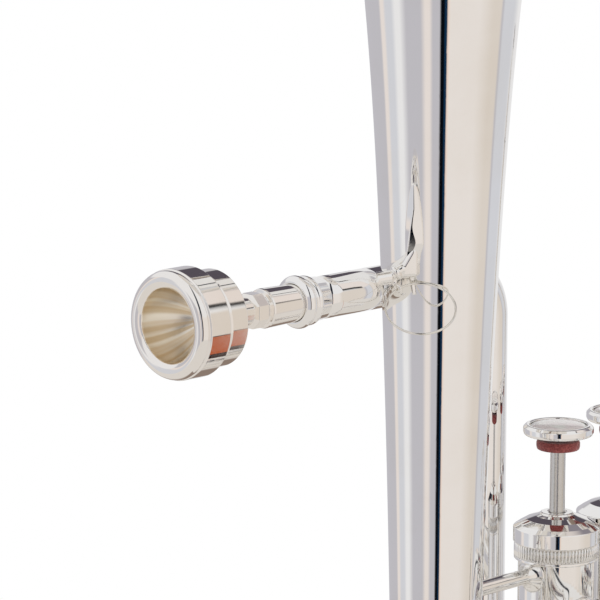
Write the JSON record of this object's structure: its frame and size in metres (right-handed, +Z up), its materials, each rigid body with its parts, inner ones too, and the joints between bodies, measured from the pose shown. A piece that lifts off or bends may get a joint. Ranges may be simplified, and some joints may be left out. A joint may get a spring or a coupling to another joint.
{
  "type": "alto horn",
  "caption": "Upright piston-valve brass horn with a tapered bell stack, bottom bow, pull-out tuning slides and a removable mouthpiece.",
  "frame": {"origin": "the hand grip: on the middle valve's axis, half-way up its casing", "axes": "+Z up along the bell's axis towards the bell's mouth, +X from the mouthpiece towards the outer branch, -Y the side of the player's right hand"},
  "size_m": [0.2895, 0.203, 0.5063],
  "materials": {
    "silver_plate": "mirror-polished silver plate on brass",
    "mouthpiece_plate": "polished silver plate with a satin cup",
    "ring_wire": "bright drawn wire",
    "piston_metal": "lapped nickel alloy",
    "spring_steel": "drawn spring wire",
    "pearl": "mother-of-pearl disc",
    "felt": "pressed wool felt",
    "cork": "natural cork"
  },
  "bodies": {
    "horn": {"bell": "silver_plate", "bottom_bow": "silver_plate", "bow_guard": "silver_plate", "bell_ferrule": "silver_plate", "outer_ferrule": "silver_plate", "outer_branch": "silver_plate", "inner_branch": "silver_plate", "receiver": "silver_plate", "mouthpipe": "silver_plate", "leaf_stay": "silver_plate", "first_upper_branch": "silver_plate", "first_lower_branch": "silver_plate", "second_upper_branch": "silver_plate", "second_lower_branch": "silver_plate", "third_upper_branch": "silver_plate", "third_lower_branch": "silver_plate", "bell_stay": "silver_plate", "branch_stay": "silver_plate", "third_slide_stay": "silver_plate", "back_stay": "silver_plate", "finger_hook": "silver_plate", "thumb_ring": "silver_plate", "lyre_socket": "silver_plate", "key_saddle": "silver_plate", "key_pin": "spring_steel", "valve_casing_1": "silver_plate", "valve_casing_2": "silver_plate", "valve_casing_3": "silver_plate", "top_cap_1": "silver_plate", "top_cap_2": "silver_plate", "top_cap_3": "silver_plate", "bottom_cap_1": "silver_plate", "bottom_cap_2": "silver_plate", "bottom_cap_3": "silver_plate", "knuckle_1": "silver_plate", "knuckle_2": "silver_plate", "valve_spring_1": "spring_steel", "valve_spring_2": "spring_steel", "valve_spring_3": "spring_steel"},
    "valve_1": {"piston_1": "piston_metal", "finger_button_1": "silver_plate", "pearl_1": "pearl", "button_felt_1": "felt"},
    "valve_2": {"piston_2": "piston_metal", "finger_button_2": "silver_plate", "pearl_2": "pearl", "button_felt_2": "felt"},
    "valve_3": {"piston_3": "piston_metal", "finger_button_3": "silver_plate", "pearl_3": "pearl", "button_felt_3": "felt"},
    "main_tuning_slide": {"main_slide": "silver_plate"},
    "first_tuning_slide": {"first_slide": "silver_plate"},
    "second_tuning_slide": {"second_slide": "silver_plate"},
    "third_tuning_slide": {"third_slide": "silver_plate"},
    "mouthpiece_body": {"mouthpiece": "mouthpiece_plate"},
    "ring_body": {"wire_ring": "ring_wire"},
    "water_key": {"key_lever": "silver_plate", "key_cork": "cork"},
    "thumbscrew": {"lyre_screw": "silver_plate"}
  },
  "joints": [
    {"name": "valve_1_press", "type": "slide", "parent": "horn", "child": "valve_1", "axis": [0, 0, -1], "range_m": [0, 0.0165], "stiffness_N_per_m": 80, "springref_m": -0.03, "deforming": ["valve_spring_1"]},
    {"name": "valve_2_press", "type": "slide", "parent": "horn", "child": "valve_2", "axis": [0, 0, -1], "range_m": [0, 0.0165], "stiffness_N_per_m": 80, "springref_m": -0.03, "deforming": ["valve_spring_2"]},
    {"name": "valve_3_press", "type": "slide", "parent": "horn", "child": "valve_3", "axis": [0, 0, -1], "range_m": [0, 0.0165], "stiffness_N_per_m": 80, "springref_m": -0.03, "deforming": ["valve_spring_3"]},
    {"name": "main_slide_pull", "type": "slide", "parent": "horn", "child": "main_tuning_slide", "axis": [0, 0, 1], "range_m": [0, 0.045]},
    {"name": "first_slide_pull", "type": "slide", "parent": "horn", "child": "first_tuning_slide", "axis": [-1, 0, 0], "range_m": [0, 0.03]},
    {"name": "second_slide_pull", "type": "slide", "parent": "horn", "child": "second_tuning_slide", "axis": [0, -1, 0], "range_m": [0, 0.01]},
    {"name": "third_slide_pull", "type": "slide", "parent": "horn", "child": "third_tuning_slide", "axis": [0, 0, -1], "range_m": [0, 0.04]},
    {"name": "mouthpiece_pull", "type": "slide", "parent": "horn", "child": "mouthpiece_body", "axis": [-1, 0, 0], "range_m": [0, 0.02]},
    {"name": "ring_swing", "type": "hinge", "parent": "horn", "child": "ring_body", "pos_m": [-0.09009, -0.00416, 0.12457], "axis": [-0.8903, 0.2044, -0.4069], "range_deg": [0, 40]},
    {"name": "water_key_press", "type": "hinge", "parent": "horn", "child": "water_key", "pos_m": [0.033, -0.0146, -0.1936], "axis": [0, 0, 1], "range_deg": [0, 12], "stiffness_Nm_per_rad": 0.03, "springref_deg": -28.65},
    {"name": "thumbscrew_turn", "type": "hinge", "parent": "horn", "child": "thumbscrew", "pos_m": [0.107, -0.01234, -0.01855], "axis": [0, 1, 0], "range_deg": [-180, 180]}
  ]
}
